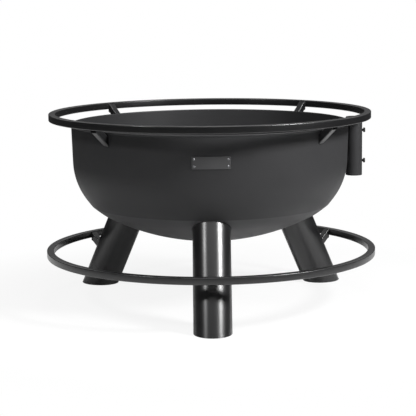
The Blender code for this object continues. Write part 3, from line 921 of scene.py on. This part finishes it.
def build_floor():
    """White paper on the floor, which keeps part of its own shading near the object for its shadow.

    The eye sees it white everywhere, and gloss sees it white as far as the paper reaches. Each band goes
    smoothly from one value to another between two distances from the axis.
    """
    studio = bpy.context.scene.fire_bowl_studio
    corners = [
        (-FLOOR_REACH, -FLOOR_REACH, 0.0),
        (FLOOR_REACH, -FLOOR_REACH, 0.0),
        (FLOOR_REACH, FLOOR_REACH, 0.0),
        (-FLOOR_REACH, FLOOR_REACH, 0.0),
    ]
    mesh = bpy.data.meshes.new("studio_floor")
    mesh.from_pydata(corners, [], [(0, 1, 2, 3)])
    floor = bpy.data.objects.new("studio_floor", mesh)
    bpy.context.scene.collection.objects.link(floor)
    paper = bpy.data.materials.new("studio_paper_matt")
    paper.use_nodes = True
    tree = paper.node_tree
    tree.nodes.remove(tree.nodes["Principled BSDF"])
    place = add_node(tree, "ShaderNodeTexCoord").outputs["Object"]
    away = add_node(tree, "ShaderNodeVectorMath", {0: place}, operation="LENGTH").outputs["Value"]
    reach = studio.paper_reach
    bands = {
        "brightness": (reach - PAPER_EDGE, reach + PAPER_EDGE, 1.0, studio.room_light),
        "paleness": (0.75, 1.3, 0.9, 0.3),
        "white_to_eye": (0.6, 1.1, 1 - studio.shadow, 1.0),
        "white_to_gloss": (0.5, 1.05, 0.1, 1.0),
    }
    made = {}
    for name, (near, far, within, beyond) in bands.items():
        made[name] = add_node(tree, "ShaderNodeMapRange", {
            "Value": away, "From Min": near, "From Max": far, "To Min": within, "To Max": beyond},
            interpolation_type="SMOOTHSTEP").outputs["Result"]
    eye, mirrored = eye_and_gloss(tree)
    level = add_node(tree, "ShaderNodeMath", {0: eye, 1: made["brightness"]}, operation="MAXIMUM")
    white = add_node(tree, "ShaderNodeEmission", {
        "Color": (1.0, 1.0, 1.0, 1.0), "Strength": level.outputs[0]})
    shaded = add_node(tree, "ShaderNodeBsdfDiffuse", {"Color": made["paleness"]})
    seen = add_node(tree, "ShaderNodeMath", {0: eye, 1: made["white_to_eye"]}, operation="MULTIPLY")
    share = add_node(tree, "ShaderNodeMath", {0: mirrored, 1: made["white_to_gloss"], 2: seen.outputs[0]},
                     operation="MULTIPLY_ADD")
    both = add_node(tree, "ShaderNodeMixShader", {
        0: share.outputs[0], 1: shaded.outputs[0], 2: white.outputs[0]})
    tree.links.new(both.outputs[0], tree.nodes["Material Output"].inputs["Surface"])
    mesh.materials.append(paper)


def build_world():
    """Dim even light from all round. The eye sees it white, and gloss sees a white backdrop high behind."""
    studio = bpy.context.scene.fire_bowl_studio
    world = bpy.data.worlds.new("studio_room")
    world.use_nodes = True
    tree = world.node_tree
    light = tree.nodes["Background"]
    light.inputs["Color"].default_value = (1.0, 1.0, 1.0, 1.0)
    direction = add_node(tree, "ShaderNodeTexCoord").outputs["Generated"]
    parts = add_node(tree, "ShaderNodeSeparateXYZ", {0: direction})
    eye, mirrored = eye_and_gloss(tree)
    behind = add_node(tree, "ShaderNodeMapRange", {
        "Value": parts.outputs["Y"], "From Min": BACKDROP_BEHIND[0], "From Max": BACKDROP_BEHIND[1]},
        interpolation_type="SMOOTHSTEP")
    above = add_node(tree, "ShaderNodeMapRange", {
        "Value": parts.outputs["Z"], "From Min": BACKDROP_ABOVE[0], "From Max": BACKDROP_ABOVE[1],
        "To Max": behind.outputs["Result"]}, interpolation_type="SMOOTHSTEP")
    seen = add_node(tree, "ShaderNodeMath", {0: mirrored, 1: above.outputs["Result"], 2: eye},
                    operation="MULTIPLY_ADD")
    strength = add_node(tree, "ShaderNodeMapRange", {
        "Value": seen.outputs[0], "To Min": studio.room_light, "To Max": 1.0})
    tree.links.new(strength.outputs["Result"], light.inputs["Strength"])
    bpy.context.scene.world = world


def build_camera():
    """Camera turned by yaw, pitch and roll, in that order, from a level look along +Y."""
    ahead = np.array([
        -sin(CAMERA_YAW) * cos(CAMERA_PITCH),
        cos(CAMERA_YAW) * cos(CAMERA_PITCH),
        -sin(CAMERA_PITCH),
    ])
    right = np.array([cos(CAMERA_YAW), sin(CAMERA_YAW), 0.0])
    top = np.cross(right, ahead)
    rolled_right = cos(CAMERA_ROLL) * right + sin(CAMERA_ROLL) * top
    rolled_top = -sin(CAMERA_ROLL) * right + cos(CAMERA_ROLL) * top
    turn = Matrix(np.stack([rolled_right, rolled_top, -ahead], axis=1).tolist()).to_4x4()
    data = bpy.data.cameras.new("studio_camera")
    data.sensor_width = SENSOR_MM
    data.lens = CAMERA_LENS_MM
    data.clip_end = 500.0
    camera = bpy.data.objects.new("studio_camera", data)
    bpy.context.scene.collection.objects.link(camera)
    camera.matrix_world = Matrix.Translation(CAMERA_PLACE + AXIS) @ turn
    bpy.context.scene.camera = camera


class MakeBowl(bpy.types.Operator):
    """Replaces the bowl's solid with a fine shell that has a folded hem"""

    bl_idname = "fire_bowl.make_bowl"
    bl_label = "Bowl"

    def execute(self, context):
        build_bowl_shell()
        return {"FINISHED"}


class MakeRails(bpy.types.Operator):
    """Replaces both rails with rounded square tube"""

    bl_idname = "fire_bowl.make_rails"
    bl_label = "Rails"

    def execute(self, context):
        build_rail("upper_rail", UPPER_RAIL_INNER_RADIUS, UPPER_RAIL_TOP, UPPER_RAIL_SEAM)
        build_rail("lower_rail", LOWER_RAIL_INNER_RADIUS, LOWER_RAIL_TOP, LOWER_RAIL_SEAM)
        return {"FINISHED"}


class MakeLegs(bpy.types.Operator):
    """Replaces the legs with smooth tubes and welds them to the bowl"""

    bl_idname = "fire_bowl.make_legs"
    bl_label = "Legs"

    def execute(self, context):
        for place, azimuth in LEG_AZIMUTHS.items():
            build_leg(place, radians(azimuth))
        return {"FINISHED"}


class MakeStruts(bpy.types.Operator):
    """Replaces the struts of both rails and welds their ends"""

    bl_idname = "fire_bowl.make_struts"
    bl_label = "Struts"

    def execute(self, context):
        for place, azimuth in UPPER_STRUT_AZIMUTHS.items():
            build_strut("upper_strut_" + place, radians(azimuth),
                        UPPER_RAIL_INNER_RADIUS, UPPER_RAIL_TOP, bowl_gap)
        for place, azimuth in LEG_AZIMUTHS.items():
            build_strut("lower_strut_" + place, radians(azimuth),
                        LOWER_RAIL_INNER_RADIUS, LOWER_RAIL_TOP, leg_gap(radians(azimuth)))
        return {"FINISHED"}


class MakeSocket(bpy.types.Operator):
    """Replaces the pole socket and its clamp screws, with threads"""

    bl_idname = "fire_bowl.make_socket"
    bl_label = "Pole socket and screws"

    def execute(self, context):
        build_socket()
        for place, height in SCREW_HEIGHTS.items():
            build_screw(place, height)
        return {"FINISHED"}


class MakeNamePlate(bpy.types.Operator):
    """Replaces the name plate, which stays bare, and its rivets"""

    bl_idname = "fire_bowl.make_name_plate"
    bl_label = "Name plate and rivets"

    def execute(self, context):
        build_name_plate()
        build_rivets()
        return {"FINISHED"}


class MakeStage(bpy.types.Operator):
    """Adds the camera, the floor, the soft boxes and the even light"""

    bl_idname = "fire_bowl.make_stage"
    bl_label = "Stage"

    def execute(self, context):
        studio = context.scene.fire_bowl_studio
        build_camera()
        build_floor()
        build_world()
        for name, (*placing, setting) in LAMPS.items():
            add_lamp(name, *placing, getattr(studio, setting))
        context.scene.view_settings.view_transform = "Standard"
        return {"FINISHED"}


class FireBowlPanel(bpy.types.Panel):
    """Lists the sizes, the colours, the studio and the steps"""

    bl_idname = "VIEW3D_PT_fire_bowl"
    bl_label = "Fire bowl"
    bl_space_type = "VIEW_3D"
    bl_region_type = "UI"
    bl_category = "Fire bowl"

    def draw(self, context):
        layout = self.layout
        for name in GROUPS:
            group = getattr(context.scene, name)
            for setting in group.__annotations__:
                layout.prop(group, setting)
        for step in STEPS:
            layout.operator(step.bl_idname)


GROUPS = {
    "fire_bowl_sizes": FireBowlSizes,
    "fire_bowl_colours": FireBowlColours,
    "fire_bowl_studio": FireBowlStudio,
}
STEPS = (MakeStage, MakeBowl, MakeRails, MakeLegs, MakeStruts, MakeSocket, MakeNamePlate)


def register():
    """Adds the settings to the scene, and the steps and the panel to Blender."""
    for group in GROUPS.values():
        bpy.utils.register_class(group)
    for name, group in GROUPS.items():
        setattr(bpy.types.Scene, name, bpy.props.PointerProperty(type=group))
    for step in STEPS:
        bpy.utils.register_class(step)
    bpy.utils.register_class(FireBowlPanel)


def unregister():
    """Takes them away again."""
    bpy.utils.unregister_class(FireBowlPanel)
    for step in reversed(STEPS):
        bpy.utils.unregister_class(step)
    for name, group in GROUPS.items():
        delattr(bpy.types.Scene, name)
        bpy.utils.unregister_class(group)


def main():
    register()
    bpy.ops.fire_bowl.make_stage()
    bpy.ops.fire_bowl.make_bowl()
    bpy.ops.fire_bowl.make_rails()
    bpy.ops.fire_bowl.make_legs()
    bpy.ops.fire_bowl.make_struts()
    bpy.ops.fire_bowl.make_socket()
    bpy.ops.fire_bowl.make_name_plate()
    bpy.context.view_layer.update()


if __name__ == "__main__":
    main()
